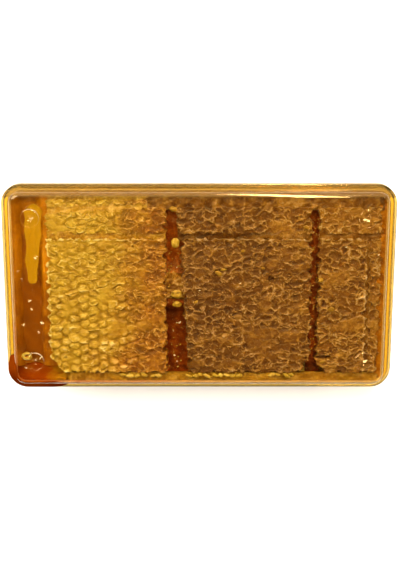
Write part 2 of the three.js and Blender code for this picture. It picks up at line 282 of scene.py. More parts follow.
def grid_faces(columns, rows, start=0, flip=False):
    i, j = np.meshgrid(np.arange(columns - 1), np.arange(rows - 1))
    a = start + (j * columns + i).ravel()
    quads = np.stack([a, a + 1, a + 1 + columns, a + columns], axis=1)
    return (quads[:, ::-1] if flip else quads).tolist()


def flat_grid(across, along):
    """Every pair of two rows of numbers, as two flat arrays."""
    return [side.ravel() for side in np.meshgrid(across, along)]


def block(top, columns, rows, lower, under=None):
    """Points and faces of a block: a grid on top, rings below its edge, and at the
    bottom the last ring as one face, or a second grid."""
    loop = edge_loop(columns, rows)
    rings = [loop, *numbered(len(lower), len(loop), len(top))]
    faces = grid_faces(columns, rows)
    if under is None:
        return np.concatenate([top, *lower]), faces + wrap(rings) + [rings[-1][::-1].tolist()]
    start = len(top) + len(lower) * len(loop)
    faces += grid_faces(columns, rows, start, flip=True) + wrap([*rings, loop + start])
    return np.concatenate([top, *lower, under]), faces


def ball(subdivisions):
    """Points and triangles of a sphere of radius 1."""
    shape = bmesh.new()
    bmesh.ops.create_icosphere(shape, subdivisions=subdivisions, radius=1.0)
    shape.verts.index_update()
    points = np.array([v.co[:] for v in shape.verts])
    faces = np.array([[v.index for v in f.verts] for f in shape.faces])
    shape.free()
    return points, faces


def new_object(name, data):
    item = bpy.data.objects.new(name, data)
    bpy.context.scene.collection.objects.link(item)
    return item


def make_piece(name, points_mm, faces, material, slot, replaces=(), smooth_angle=40, tone=None, age=None):
    """Turns points and faces into an object that rides with the box."""
    mesh = bpy.data.meshes.new(name)
    mesh.from_pydata((np.asarray(points_mm) * MM).tolist(), [], faces)
    mesh.validate()
    for name_, values in (("tone", tone), ("age", age)):
        if values is not None:
            layer = mesh.attributes.new(name_, "FLOAT", "POINT")
            spread = np.broadcast_to(np.clip(values, 0, 1), (len(points_mm),))
            layer.data.foreach_set("value", spread.astype(np.float32))
    mesh.materials.append(material)
    mesh.polygons.foreach_set("use_smooth", [True] * len(mesh.polygons))
    mesh.set_sharp_from_angle(angle=math.radians(smooth_angle))
    piece = new_object(name, mesh)
    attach(piece, "root")
    if replaces:
        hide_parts(*replaces)
    return piece


def half_sizes(inset, z):
    """Half the length and width of the box at a level, on a given inset."""
    raised = smoothstep(RIM_Z - 0.6, PANEL_Z - 1.5, z)
    return (HALF_LENGTH - inset + PANEL_SPREAD[0] * raised,
            HALF_WIDTH - inset + PANEL_SPREAD[1] * raised)


def rounded_ring(inset, z):
    """One level of the box, as in a stack of rounded rectangles."""
    radius = max(CORNER_RADIUS - inset, LEAST_RADIUS)
    centre = np.array(half_sizes(inset, z)) - radius
    signs = [(1, 1), (-1, 1), (-1, -1), (1, -1)]
    ring = []
    for corner, sign in enumerate(signs):
        for step in range(CORNER_STEPS + 1):
            angle = (corner + step / CORNER_STEPS) * math.pi / 2
            ring.append([sign[0] * centre[0] + radius * math.cos(angle),
                         sign[1] * centre[1] + radius * math.sin(angle), z])
    return ring


def soften(profile, radius, steps=5):
    """Rounds the inner corners of a profile of (inset, z) points. A third number
    in a point gives its corner a radius of its own."""
    softened = [profile[0][:2]]
    for before, here, after in zip(profile, profile[1:], profile[2:]):
        own = here[2] if len(here) > 2 else radius
        here = np.array(here[:2], float)
        back, ahead = np.array(before[:2]) - here, np.array(after[:2]) - here
        reach_back = min(own, np.linalg.norm(back) * 0.45)
        reach_ahead = min(own, np.linalg.norm(ahead) * 0.45)
        start = here + back / np.linalg.norm(back) * reach_back
        end = here + ahead / np.linalg.norm(ahead) * reach_ahead
        for i in range(steps + 1):
            t = i / steps
            softened.append(tuple((1 - t) ** 2 * start + 2 * t * (1 - t) * here + t * t * end))
    softened.append(profile[-1][:2])
    return softened


def rings_from_profile(profile):
    """Points of the rings of a profile, and the numbers of each ring's points."""
    rings = [rounded_ring(inset, z) for inset, z in profile]
    return np.concatenate(rings), numbered(len(rings), len(rings[0]))


def body_from_profile(profile):
    """A closed body that starts and ends on a flat face across the box."""
    points, rings = rings_from_profile(profile)
    return points, [rings[0][::-1].tolist(), rings[-1].tolist()] + wrap(rings, flip=True)


# ---- the moulded box ----

def make_tub(plastic):
    inner = TUB_BASE_INSET + SHEET
    profile = [
        (TUB_BASE_INSET + BASE_ROUND, 0), (TUB_BASE_INSET, 0.1), (TUB_WALL_INSET, TUB_RIM_Z - SHEET),
        (FLANGE_INSET, TUB_RIM_Z - SHEET), (FLANGE_INSET, TUB_RIM_Z),
        (TUB_WALL_INSET + SHEET, TUB_RIM_Z), (inner, SHEET + 0.1), (inner + BASE_ROUND, SHEET),
    ]
    points, faces = body_from_profile(soften(profile, 1.4))
    return make_piece("tub_moulding", points, faces, plastic, "clear_plastic", ["tub"])


def make_lid(plastic):
    profile = [
        (PANEL_INSET + 6, PANEL_UNDER_Z), (PANEL_INSET + 0.6, PANEL_UNDER_Z),
        (SLOPE_FOOT_INSET + SHEET, LID_UNDER_Z), (SHEET, LID_UNDER_Z), (SHEET, SKIRT_Z), (0, SKIRT_Z),
        (0, RIM_Z), (SLOPE_FOOT_INSET, RIM_Z), (SLOPE_FOOT_INSET, RIM_Z - 0.5),
        (PANEL_INSET - 0.4, PANEL_Z, 3.0), (PANEL_INSET + 6, PANEL_Z),
    ]
    points, faces = body_from_profile(soften(profile, 0.9))
    lid = make_piece("lid_moulding", points, faces, plastic, "clear_plastic", ["lid"])
    add_studs(lid)
    return lid


def add_studs(lid):
    """Four round stacking studs and two locating ribs, moulded in one with the lid."""
    top, radius = STUD["height"], STUD["radius"]
    profile = [(radius - 0.3, -SHEET / 2), (radius, 0.0), (radius - 0.1, top * 0.35)]
    profile += [(radius - 0.6 + 0.5 * math.cos(a), top - 0.4 + 0.4 * math.sin(a))
                for a in np.linspace(0.25, math.pi / 2, 7)]
    profile += [(2.3, top - 0.02)] + [(2.1 - 0.35 * i, top - 0.08 - 0.62 * math.sin(i * math.pi / 12))
                                      for i in range(1, 6)]
    sides = 40
    shape = bmesh.new()
    for x in (-STUD["x"], STUD["x"]):
        for y in (-STUD["y"], STUD["y"]):
            rings = [[shape.verts.new(Vector((
                x + radius * math.cos(2 * math.pi * i / sides),
                y + radius * math.sin(2 * math.pi * i / sides), PANEL_Z + height)) * MM)
                for i in range(sides)] for radius, height in profile]
            for low, high in zip(rings, rings[1:]):
                for i in range(sides):
                    shape.faces.new((low[i], low[(i + 1) % sides], high[(i + 1) % sides], high[i]))
            shape.faces.new(rings[-1])
            shape.faces.new(rings[0][::-1])
    for x, y in ((-HALF_LENGTH + 2.0, -14.0), (HALF_LENGTH - 2.0, -17.5)):
        notch = bmesh.ops.create_cube(shape, size=1.0)["verts"]
        bmesh.ops.scale(shape, vec=Vector((3.2, 0.5, 0.5)) * MM, verts=notch)
        bmesh.ops.translate(shape, vec=Vector((x, y, RIM_Z)) * MM, verts=notch)
    mesh = bpy.data.meshes.new("studs")
    shape.to_mesh(mesh)
    shape.free()
    studs = new_object("studs", mesh)
    join = lid.modifiers.new("join", "BOOLEAN")
    join.operation, join.solver, join.object = "UNION", "EXACT", studs
    bpy.context.view_layer.update()
    joined = bpy.data.meshes.new_from_object(lid.evaluated_get(bpy.context.evaluated_depsgraph_get()))
    lid.modifiers.remove(join)
    material = lid.data.materials[0]
    lid.data = joined
    joined.materials.clear()
    joined.materials.append(material)
    joined.polygons.foreach_set("use_smooth", [True] * len(joined.polygons))
    joined.set_sharp_from_angle(angle=math.radians(35))
    bpy.data.objects.remove(studs)


# ---- noise ----

def wander(x, y, size, seed):
    """Smooth random height between about -1 and 1, with features of a given size."""
    rng = np.random.default_rng(seed)
    total = np.zeros_like(x, dtype=float)
    waves = 6
    for _ in range(waves):
        angle = rng.uniform(0, 2 * math.pi)
        length = size * rng.uniform(0.7, 1.6)
        phase = rng.uniform(0, 2 * math.pi)
        total += np.sin((x * math.cos(angle) + y * math.sin(angle)) * 2 * math.pi / length + phase)
    return total / math.sqrt(waves) / 1.3


def cell_hash(column, row, salt):
    """A random number from 0 to 1 of a cell's own."""
    value = np.sin(column * 127.1 + row * 311.7 + salt * 74.7) * 43758.5453
    return value - np.floor(value)


# ---- the comb ----

def nearest_cell(x, y, jitter):
    """For each point: distance to the nearest cell border in mm, the cell's column
    and row, the offset from its centre in cell pitches, and how far the border
    runs across the box's width rather than along it."""
    scale_x, scale_y = math.sqrt(3) / 2 / COLUMN_STEP, 1 / ROW_STEP
    cells = []
    for step in (-1, 0, 1):
        column = np.round(x / COLUMN_STEP) + step
        shift = np.where(column % 2 == 0, 0.0, ROW_STEP / 2)
        for rise in (-1, 0, 1):
            row = np.round((y - shift) / ROW_STEP) + rise
            dx = x - column * COLUMN_STEP - jitter * (cell_hash(column, row, 1) - 0.5)
            dy = y - row * ROW_STEP - shift - jitter * (cell_hash(column, row, 2) - 0.5)
            dx, dy = dx * scale_x, dy * scale_y
            cells.append([dx * dx + dy * dy, column, row, dx, dy])
    cells = np.array(cells)
    order = np.argsort(cells[:, 0], axis=0, kind="stable")[:2, None]
    (near_2, column, row, dx, dy), (next_2, _, _, next_dx, next_dy) = np.take_along_axis(cells, order, axis=0)
    apart = np.maximum(np.hypot(dx - next_dx, dy - next_dy), 0.2)
    border = (next_2 - near_2) / (2 * apart) * CELL_PITCH
    return border, column, row, dx, dy, np.abs(dy - next_dy) / apart


def capped_relief(x, y, seed):
    """Domed cappings with honey in the grooves between them, and here and there the
    torn rim of a capping."""
    wx = x + 0.9 * wander(x, y, 12, seed) + 0.3 * wander(x, y, 3, seed + 5)
    wy = y + 0.9 * wander(x, y, 12, seed + 1) + 0.3 * wander(x, y, 3, seed + 6)
    border, column, row, dx, dy, _ = nearest_cell(wx, wy, 1.0)
    own = partial(cell_hash, column, row)
    reach = np.hypot(dx * 0.92, dy)
    radius = 0.33 + 0.15 * own(5)
    cap = np.sqrt(np.clip(1 - (reach / radius) ** 2, 0, 1)) * smoothstep(0.0, 0.6, border)
    lift = 0.55 + 0.6 * own(6)
    tilt = (own(3) - 0.5) * dx + (own(4) - 0.5) * dy
    turn = 1.57 * np.sign(own(10) - 0.4) + 1.6 * (own(12) - 0.5)
    open_side = smoothstep(-0.3, 0.3, np.cos(np.arctan2(dy, dx) - turn))
    creased = smoothstep(-14, 8, y)
    torn = bump(reach - 0.42, 0.05) * open_side * (own(11) > 0.6 - 0.25 * creased)
    crease = (bump(wander(0.6 * x, 1.4 * y, 5.0, seed + 12), 0.09)
              * smoothstep(-0.2, 0.3, wander(x, y, 9, seed + 13) + 0.7 * creased))
    fold = np.maximum(torn, crease)
    wrinkle = 0.16 * wander(x, y, 1.5, seed + 2) + 0.16 * wander(x, y, 3.3, seed + 9)
    cap = cap * (1 - 0.25 * creased)
    height = -1.5 + lift * cap + 1.6 * tilt * cap + wrinkle * (0.4 + cap) + 0.7 * fold
    grooved = 0.75 + 0.35 * smoothstep(0, -35, y)
    # Tone: dome tops, torn rims and creases lighter, grooves darker. This is painted highlight and painted
    # shade, partly pale wax and the honey in the grooves.
    tone = (0.38 + grooved * (0.35 * cap - 0.10) + 0.16 * (own(7) - 0.5) + 0.42 * fold
            + 0.10 * wander(x, y, 5, seed + 8) + 0.05 * wander(x, y, 1.5, seed + 2))
    return height, tone


def open_relief(x, y, seed, along):
    """Thin, wavy rims of torn cells with honey in the hollows between them. along is
    1 where only the rims that run along the box are left."""
    wx = x + 1.1 * wander(x, y, 10, seed) + 0.45 * wander(x, y, 2.4, seed + 5)
    wy = y + 1.1 * wander(x, y, 10, seed + 1) + 0.45 * wander(x, y, 2.4, seed + 6)
    border, column, row, dx, dy, across = nearest_cell(wx, wy, 1.6)
    own = partial(cell_hash, column, row)
    left_standing = (0.9 * wander(x, y, 4.2, seed + 2) + 1.1 * (own(7) - 0.5)
                     - 1.5 * along * (0.8 - across) + 0.36 - 0.31 * along)
    intact = smoothstep(-0.2, 0.2, left_standing)
    thread = (bump(wander(0.6 * x, 1.4 * y, 5.0, seed + 14), 0.09)
              * smoothstep(-0.5, 0.2, wander(x, y, 8, seed + 15)))
    reach = np.hypot(dx * 0.92, dy) - 0.05 * own(14)
    facing = np.cos(np.arctan2(dy, dx) - 6.3 * own(15))
    curl = bump(reach - 0.33, 0.05) * smoothstep(-0.6, 0.1, facing) * (own(16) > 0.5)
    rim = np.maximum(bump(border, 0.20) * intact * (1 - 0.4 * along), (0.8 + 0.3 * along) * thread)
    rim = np.maximum(rim, 0.9 * curl)
    shoulder = bump(border, 0.9) * intact
    hollow = np.clip(border / 2.2, 0, 1)
    mid = wander(x, y, 4.5, seed + 3)
    small = wander(x, y, 1.4, seed + 4)
    sunk = hollow * intact * (1 - 0.8 * along)
    calm = 1 - 0.5 * along
    height = -1.15 - 0.18 * sunk + calm * (0.14 * mid + 0.07 * small) + 0.18 * shoulder + 0.70 * rim
    # Tone: rims and shoulders lighter, sunken hollows darker. This is painted highlight and painted shade,
    # partly pale wax and the honey in the hollows.
    tone = (0.215 + 0.08 * mid + 0.05 * small - 0.07 * sunk + 0.03 * shoulder + 0.66 * rim
            + 0.16 * calm * (own(8) - 0.5))
    return height, tone


def comb_relief(x, y, seed, capped, blurred):
    """Mixes capped and torn cells with patches where smeared wax hides them."""
    dome_height, dome_tone = capped_relief(x, y, seed)
    rim_height, rim_tone = open_relief(x, y, seed + 20, np.clip(capped * 1.6, 0, 1))
    share = smoothstep(-0.4, 0.4, capped * 2 - 1 + 0.7 * wander(x, y, 11, seed + 40))
    height = share * dome_height + (1 - share) * rim_height
    tone = share * dome_tone + (1 - share) * rim_tone
    smear = smoothstep(0.35, 0.9, wander(x, y, 17, seed + 50) + blurred)
    smooth = -0.75 + 0.25 * wander(x, y, 6, seed + 51)
    height = height + smear * 0.75 * (smooth - height)
    tone = tone + smear * 0.6 * (0.40 + 0.08 * wander(x, y, 4, seed + 52) - tone)
    return height, tone


def flute(along, lower, depth, seed):
    """How far a knife cut stands back from its straight line: half cells, which
    are offset by half a cell below the midrib, and the knife's own wander."""
    phase = math.pi / 2 if lower else 0.0
    teeth = np.abs(np.sin(along * math.pi / ROW_STEP + phase))
    ragged = np.sin(along * 2.9 + seed) * np.sin(along * 1.13 + 0.5)
    bites = np.clip(np.sin(along * 0.61 + seed) * np.sin(along * 0.23 + 2 * seed), 0, 1)
    return depth * (0.7 * teeth + 0.4 * ragged ** 2 + 1.2 * bites - 0.5)


def comb_outline(u, v, bounds, cuts, depth, lower=False):
    """Maps the unit square to a cut piece of comb, with its missing corners."""
    x0, x1, y0, y1 = bounds
    plain_x = x0 + (x1 - x0) * u
    plain_y = y0 + (y1 - y0) * v
    lost_left, lost_right = [
        wide * np.clip(1 - (plain_y - y0) / tall, 0, 1) ** 0.8
        for wide, tall in (cuts.get("left", (0, 1)), cuts.get("right", (0, 1)))]
    left = (x0 + lost_left + flute(plain_y, lower, depth * 1.6, x0)
            - cuts.get("shift", 0) * smoothstep(2, 8, plain_y)
            + cuts.get("lean", 0) * np.clip((-8 - plain_y) / 34, 0, 1))
    right = x1 - lost_right - flute(plain_y + 2.1, lower, depth * 1.6, x1)
    slant = np.clip((-25 - plain_x) / 56, 0, 1)
    front = y0 + flute(plain_x, lower, depth * 0.9, y0) + cuts.get("front slant", 0) * (1 - slant)
    back = y1 - flute(plain_x + 1.3, lower, depth * 0.9, y1) - cuts.get("back slant", 0) * slant
    return left + (right - left) * u, front + (back - front) * v


def make_comb(node, stuff, seed, capped, age, cuts={}, blurred=None, lit_cuts=(), pits=(), lighter=0.0):
    """A cut piece of comb: relief above and below, fluted knife cuts round it, and
    the midrib as a plain band half way up the cuts. stuff is a material and its slot.
    capped, age and blurred vary with x and y. The lit cuts, named by side, get a painted highlight: a pale
    ridge along their upper edge, where the cut catches the light."""
    low, high = box_mm(node)
    bounds = (low[0], high[0], low[1], high[1])
    columns, rows = [max(8, int(side / GRAIN)) for side in (high - low)[:2]]
    u, v = flat_grid(np.linspace(0, 1, columns), np.linspace(0, 1, rows))
    x, y = comb_outline(u, v, bounds, cuts, 1.0)
    height, tone = comb_relief(x, y, seed, capped(x, y), blurred(x, y) if blurred else 0.0)
    tone = tone + lighter
    # Each pit is sunk and also painted darker: painted shade in the hollow.
    for place_x, place_y, half_x, half_y in pits:
        pit = 1 - smoothstep(0.7, 1.15, np.hypot((x - place_x) / half_x, (y - place_y) / half_y))
        height, tone = height - 1.4 * pit, tone - 0.32 * pit
    # Painted highlight: a pale ridge, flattened a little, along the upper edge of the lit cuts.
    reach = {"left": x - low[0], "right": high[0] - x, "front": y - low[1], "back": high[1] - y}
    edge = np.minimum.reduce([reach[side] for side in lit_cuts] + [np.full(x.shape, 9.0)])
    edge = edge + 0.4 * wander(x, y, 5.0, seed + 61)
    cut_highlight = (1 - smoothstep(0.6, 1.6, edge)) * smoothstep(-0.6, 0.3, wander(x, y, 2.6, seed + 60) + 0.2)
    tone = tone + 0.52 * cut_highlight
    height = height * (1 - 0.7 * cut_highlight)
    top = xyz(x, y, high[2] + 0.12 + np.minimum(height, 0.1))
    under_x, under_y = comb_outline(u, v, bounds, cuts, 1.0, lower=True)
    under_height, under_tone = comb_relief(under_x, under_y, seed + 7, capped(under_x, under_y), 0.0)
    under = xyz(under_x, under_y, low[2] - np.minimum(under_height, 0.1))

    loop = edge_loop(columns, rows)
    middle = (high[2] + low[2]) / 2
    sides, tones = [], [tone]
    for z in np.linspace(high[2] - 1.6, low[2] + 1.6, 15):
        near_midrib = bump(z - middle, 1.4)
        ring_x, ring_y = comb_outline(u[loop], v[loop], bounds, cuts,
                                      1.1 * (1 - near_midrib), lower=z < middle)
        sides.append(xyz(ring_x, ring_y, z))
        tones.append(0.32 + 0.12 * wander(ring_x + z, ring_y, 2.3, seed + 70) + 0.25 * near_midrib)
    tones.append(under_tone)
    points, faces = block(top, columns, rows, sides, under)
    return make_piece(node + "_wax", points, faces, *stuff, [node], smooth_angle=70,
                      tone=np.concatenate(tones), age=age(points[:, 0], points[:, 1]))


def wall_inset(z):
    """How far the inner face of the lid or tub stands in from the rim at a level."""
    lid = SLOPE_FOOT_INSET + SHEET + LID_LEAN * (z - LID_UNDER_Z)
    tub = TUB_WALL_INSET + SHEET + (TUB_BASE_INSET - TUB_WALL_INSET) * (TUB_RIM_Z - z) / TUB_RIM_Z
    return np.where(z > LID_UNDER_Z, lid, tub)


def keep_inside(points):
    """Draws points in where they would stand in the wall or past its rounded corners."""
    x, y, z = points.T
    inset = wall_inset(z) + WALL_GAP
    half = half_sizes(inset, z)
    x, y = square_to_box(np.clip(x / half[0], -1, 1), np.clip(y / half[1], -1, 1), inset, z)
    return xyz(x, y, z)


def make_smear(name, stuff, seed, area, level, tone, age, ragged=0.0, torn=0.0, rough=1.0):
    """Wax and honey smeared into a cut by the knife: a soft strip with a rough top.
    stuff is a material and its slot. level gives the top in millimetres below the
    lid's panel. level and tone may vary with x and y."""
    x0, x1, y0, y1 = area
    columns, rows = [max(4, int(side / SMEAR_GRAIN)) for side in (x1 - x0, y1 - y0)]
    u, v = flat_grid(np.linspace(x0, x1, columns), np.linspace(y0, y1, rows))
    ripple = rough * (0.30 * wander(u, v, 5, seed) + 0.15 * wander(u, v, 1.8, seed + 1))
    rims, rim_tone = open_relief(u, v, seed + 30, 0.0)
    ripple = ripple + torn * (rims + 1.0)
    u, v = u + ragged * wander(u, v, 9, seed + 4), v + ragged * wander(u, v, 9, seed + 5)
    depth = level(u, v) if callable(level) else level
    plain = xyz(u, v, PANEL_UNDER_Z - depth + ripple)
    loop = edge_loop(columns, rows)
    below = keep_inside(plain[loop] - [0, 0, SMEAR_DEPTH])
    own = tone(u, v) if callable(tone) else tone
    tones = own + rough * (0.12 * wander(u, v, 7, seed + 2) + 0.05 * wander(u, v, 2.0, seed + 3))
    tones = tones + torn * (rim_tone - 0.3)
    # The sides below the top are painted darker: painted shade.
    tones = np.concatenate([tones, tones[loop] - 0.15])
    return make_piece(name, *block(keep_inside(plain), columns, rows, [below]), *stuff, smooth_angle=80,
                      tone=tones, age=age)


# ---- wax flakes ----

def make_flake(node, material, ring, brightness, seed):
    """A torn bit of capping: the rim of one cell, or a lump."""
    low, high = box_mm(node)
    centre, size = (low + high) / 2, (high - low) / 2
    if ring:
        turns, sides, tube = 36, 12, 0.36
        around, turn = flat_grid(*[2 * math.pi * np.arange(n) / n for n in (sides, turns)])
        out = 1 - tube + tube * np.cos(around)
        points = xyz(out * np.cos(turn), out * np.sin(turn), np.sin(around))
        loops = numbered(turns, sides)
        faces = wrap(loops + loops[:1])
    else:
        points, faces = ball(4)
        faces = faces.tolist()
    swell = 1 + 0.09 * wander(points[:, 0], points[:, 1] + points[:, 2], 1.1, seed)
    placed = centre + points * swell[:, None] * size * 0.96
    tone = brightness + 0.25 * wander(points[:, 0], points[:, 1], 0.9, seed + 1)
    return make_piece(node + "_wax", placed, faces, material, "yellow_wax", [node], 80, tone, 0.1)


# ---- honey ----

def square_to_box(u, v, inset, z):
    """Maps the square from -1 to 1 to a rounded rectangle of the box's form."""
    radius = np.maximum(CORNER_RADIUS - inset, LEAST_RADIUS)
    half = half_sizes(inset, z)
    x, y = u * half[0], v * half[1]
    a = np.clip((np.abs(x) - (half[0] - radius)) / radius, 0, 1)
    b = np.clip((np.abs(y) - (half[1] - radius)) / radius, 0, 1)
    in_corner = (a > 0) & (b > 0)
    x = np.where(in_corner, np.sign(x) * (half[0] - radius + radius * a * np.sqrt(1 - b * b / 2)), x)
    y = np.where(in_corner, np.sign(y) * (half[1] - radius + radius * b * np.sqrt(1 - a * a / 2)), y)
    return x, y


def pocket_shape(y, half, front, back):
    """Middle line and half width of the air pocket. It is broad and round at the
    back and tapers to the front."""
    t = np.clip((y - 3.0) / 44.0, 0, 1)
    middle = -89.8 + 2.1 * t + 0.25 * np.sin(y * 0.3)
    half = half[0] + half[1] * t + 0.25 * np.sin(y * 0.42 + 1)
    round_back = np.sqrt(np.clip((back - y) / 4.5, 0, 1))
    round_front = np.sqrt(np.clip((y - front) / 3.0, 0, 1))
    return middle, half * np.minimum(round_back, round_front)


def pocket(x, y):
    """Where the air pocket under the lid lies: 1 in its middle, 0 at its edge."""
    middle, half = pocket_shape(y, (3.2, 2.5), 2.5, 47.5)
    return np.clip(1 - np.abs(x - middle) / np.maximum(half, 1e-3), 0, 1)


GLINT_SLOPE = (-0.22, -0.62)      # a face that leans this way mirrors the softbox at the back
# Bubbles and ripples that catch a light, as (x, y, size). White specks are put at these places and at the
# places in the two lists below: painted glints.
GLINTS = [(-91.9, -5.6, 1.1), (-90.3, -10.5, 0.9), (-94.9, -19.3, 1.2), (-85.2, -18.2, 1.3),
          (-87.3, -23.6, 1.1), (-88.8, -38.8, 1.0), (-86.5, -38.3, 0.9), (-94.3, -43.8, 0.9),
          (-88.4, 39.5, 1.3), (-87.3, 17.9, 1.4), (-96.9, 10.8, 0.7), (-94.9, 6.4, 0.8)]
STUD_GLINTS = [(89.0, 38.4, 2.4), (90.0, -40.3, 2.5), (96.1, 19.9, 0.8), (78.3, 23.8, 0.8)]
GAP_GLINTS = [(-11.8, 13.1, 0.6), (-10.9, -18.0, 1.1), (-14.2, -22.7, 0.5), (-13.2, -36.6, 0.8),
              (-12.0, -40.1, 0.7), (22.0, 3.7, 0.6), (0.4, -0.2, 0.7)]


def pool_surface(x, y):
    """The honey's upper face. It wets the lid, but at the left it dips into an air
    pocket, and in front of that it hangs in little waves. Some of them are steep
    enough to catch a light."""
    top = np.full(x.shape, PANEL_UNDER_Z + WALL_BITE)
    dip = 1.5 * smoothstep(0.0, 0.45, pocket(x, y))
    drawn_x, drawn_y = x + 1.2 * wander(x, y, 13, 73), y + 3.0 * wander(x, y, 16, 74)
    loose = (smoothstep(-98.0, -93.5, drawn_x) * (1 - smoothstep(-87.0, -82.0, drawn_x))
             * smoothstep(-47.0, -42.0, y) * (1 - smoothstep(-8.0, 4.0, drawn_y)))
    waves = 1.2 + 0.22 * wander(x, y, 12, 71) + 0.16 * wander(x, y, 6.0, 72)
    surface = top - dip - loose * waves
    for gx, gy, size in GLINTS:
        dx, dy = x - gx, y - gy
        near = 1 - smoothstep(0.6, 1.3, np.hypot(dx, dy) / size)
        surface = surface + near * (GLINT_SLOPE[0] * dx + GLINT_SLOPE[1] * dy)
    return surface


def make_honey(material):
    """Honey reaches a little way into tub and lid, so that no air shows there."""
    base = TUB_BASE_INSET + SHEET - WALL_BITE
    wall = TUB_WALL_INSET + SHEET - WALL_BITE
    top_inset = PANEL_INSET + 0.9 - WALL_BITE
    corner = 2 * LEAST_RADIUS / HALF_LENGTH
    fine = np.linspace(-1, -0.82, 60)
    u_steps = np.concatenate([fine, np.linspace(-0.80, 1 - corner, 60), np.linspace(1 - corner, 1, 9)[1:]])
    v_steps = np.linspace(-1, 1, 300)
    columns, rows = len(u_steps), len(v_steps)
    u, v = flat_grid(u_steps, v_steps)
    x, y = square_to_box(u, v, top_inset, PANEL_Z)
    top = xyz(x, y, pool_surface(x, y))
    loop = edge_loop(columns, rows)
    lap = SLOPE_FOOT_INSET + SHEET - WALL_BITE
    levels = [(lap + LID_LEAN * rise, LID_UNDER_Z + rise) for rise in (6.1, 5.2, 3.5, 1.5, 0.15)]
    levels += [(lap, TUB_RIM_Z + 0.08), (wall, TUB_RIM_Z + 0.02), (wall, TUB_RIM_Z - 0.3),
               (base, SHEET + 1.2), (base + 0.4, SHEET + 0.3), (base + 1.4, SHEET - WALL_BITE)]
    sides = [xyz(*square_to_box(u[loop], v[loop], inset, z), z) for inset, z in levels]
    return make_piece("honey_body", *block(top, columns, rows, sides), material, "honey", ["honey"], 50)


def make_pocket_film(material):
    """A skin of pale wax that floats in the air pocket and makes it bright yellow. That yellow is painted
    light, standing in for light that shines through the thin honey there.
    """
    columns, rows = 21, 90
    side, y = flat_grid(np.linspace(-1, 1, columns), np.linspace(3.4, 46.8, rows))
    middle, half = pocket_shape(y, (3.1, 2.4), 2.8, 47.3)
    x = middle + side * half
    z = PANEL_UNDER_Z - 2.2 - 0.5 * (1 - side ** 2) + 0.15 * wander(x, y, 6, 90)
    top = xyz(x, y, z)
    below = top[edge_loop(columns, rows)] - [0, 0, 0.5]
    return make_piece("pocket_wax_film", *block(top, columns, rows, [below]), material, "yellow_wax",
                      smooth_angle=80)


def make_seep(pale, gold, deep):
    """A film of honey that capillarity has drawn all round between flange and lid.
    It is thinnest inside the skirt, and most of it has gathered along the back."""
    under = LID_UNDER_Z + 0.05
    foot = FLANGE_INSET + 0.2
    profile = [(0.55, under), (0.55, SKIRT_Z + 0.3), (foot, SKIRT_Z + 0.3), (foot, TUB_RIM_Z - 0.05),
               (TUB_WALL_INSET + 0.6, TUB_RIM_Z - 0.05), (TUB_WALL_INSET + 0.6, under), (foot + 0.3, under)]
    over_flange = (3, 4, 5)
    back_from = (HALF_WIDTH - CORNER_RADIUS * 0.7) * MM
    points, rings = rings_from_profile(profile)
    seep = make_piece("honey_seep", points, wrap(rings + rings[:1]), pale, "honey")
    seep.data.materials.append(gold)
    seep.data.materials.append(deep)
    for number, face in enumerate(seep.data.polygons):
        if face.center[1] > back_from:
            face.material_index = 2
        elif number // len(rings[0]) in over_flange:
            face.material_index = 1
    return seep


def make_set_rim(material):
    """Honey that has set to fine crystals behind the slope of the lid, all round. Its pale gold is partly
    painted light, standing in for side light that shines through the thin honey there. It is darker along the
    back and the front and lighter at the left end.
    """
    profile = [(4.58, LID_UNDER_Z + 0.1), (6.72, PANEL_UNDER_Z - 0.35), (7.3, PANEL_UNDER_Z - 0.5),
               (5.3, LID_UNDER_Z + 0.1)]
    points, rings = rings_from_profile(soften(profile, 0.2, 1))
    faces = wrap(rings + rings[:1], flip=True)
    x, y = points[:, 0], points[:, 1]
    tone = (0.5 + 0.2 * wander(x, y, 9, 120) + 0.12 * wander(x, y, 3, 121)
            - 0.45 * smoothstep(46, 50, y) - 0.1 * (1 - smoothstep(-50, -46, y))
            + 0.18 * smoothstep(90, 98, -x) - 0.06 * smoothstep(90, 98, x))
    return make_piece("set_honey_rim", points, faces, material, "honey", smooth_angle=60,
                      tone=tone, age=1.2 * np.clip((-x - y - 132) / 12, 0, 1))


def make_spill(name, material, section, middle):
    """Honey that has run over and under the lid's rim at the front left corner: a
    section of (inset, z) points swept round the corner, thin at both ends."""
    steps = 60
    points = []
    for t in np.linspace(0, 1, steps):
        swell = math.sqrt(min(1.0, min(t, 1 - t) * 6))
        for inset, z in section:
            here = middle[0] + (inset - middle[0]) * (0.3 + 0.7 * swell)
            points.append([*corner_point(here, t), middle[1] + (z - middle[1]) * (0.1 + 0.9 * swell)])
    points, rings = np.array(points), numbered(steps, len(section))
    faces = wrap(rings) + [rings[0].tolist(), rings[-1][::-1].tolist()]
    tone = 0.5 + 0.2 * wander(points[:, 0], points[:, 1], 14, 131)
    return make_piece(name, points, faces, material, "honey", smooth_angle=80, tone=tone, age=0.5)


def corner_point(inset, t):
    """A place on the front left corner of a ring: t 0 is on the left side, 1 in front."""
    radius = max(CORNER_RADIUS - inset, LEAST_RADIUS)
    centre = np.array([-(HALF_LENGTH - inset - radius), -(HALF_WIDTH - inset - radius)])
    side, front = 8.0, 22.0
    arc = radius * math.pi / 2
    at = t * (side + arc + front)
    if at < side:
        return centre + [-radius, side - at]
    if at < side + arc:
        angle = (at - side) / radius
        return centre + [-radius * math.cos(angle), -radius * math.sin(angle)]
    return centre + [at - side - arc, -radius]


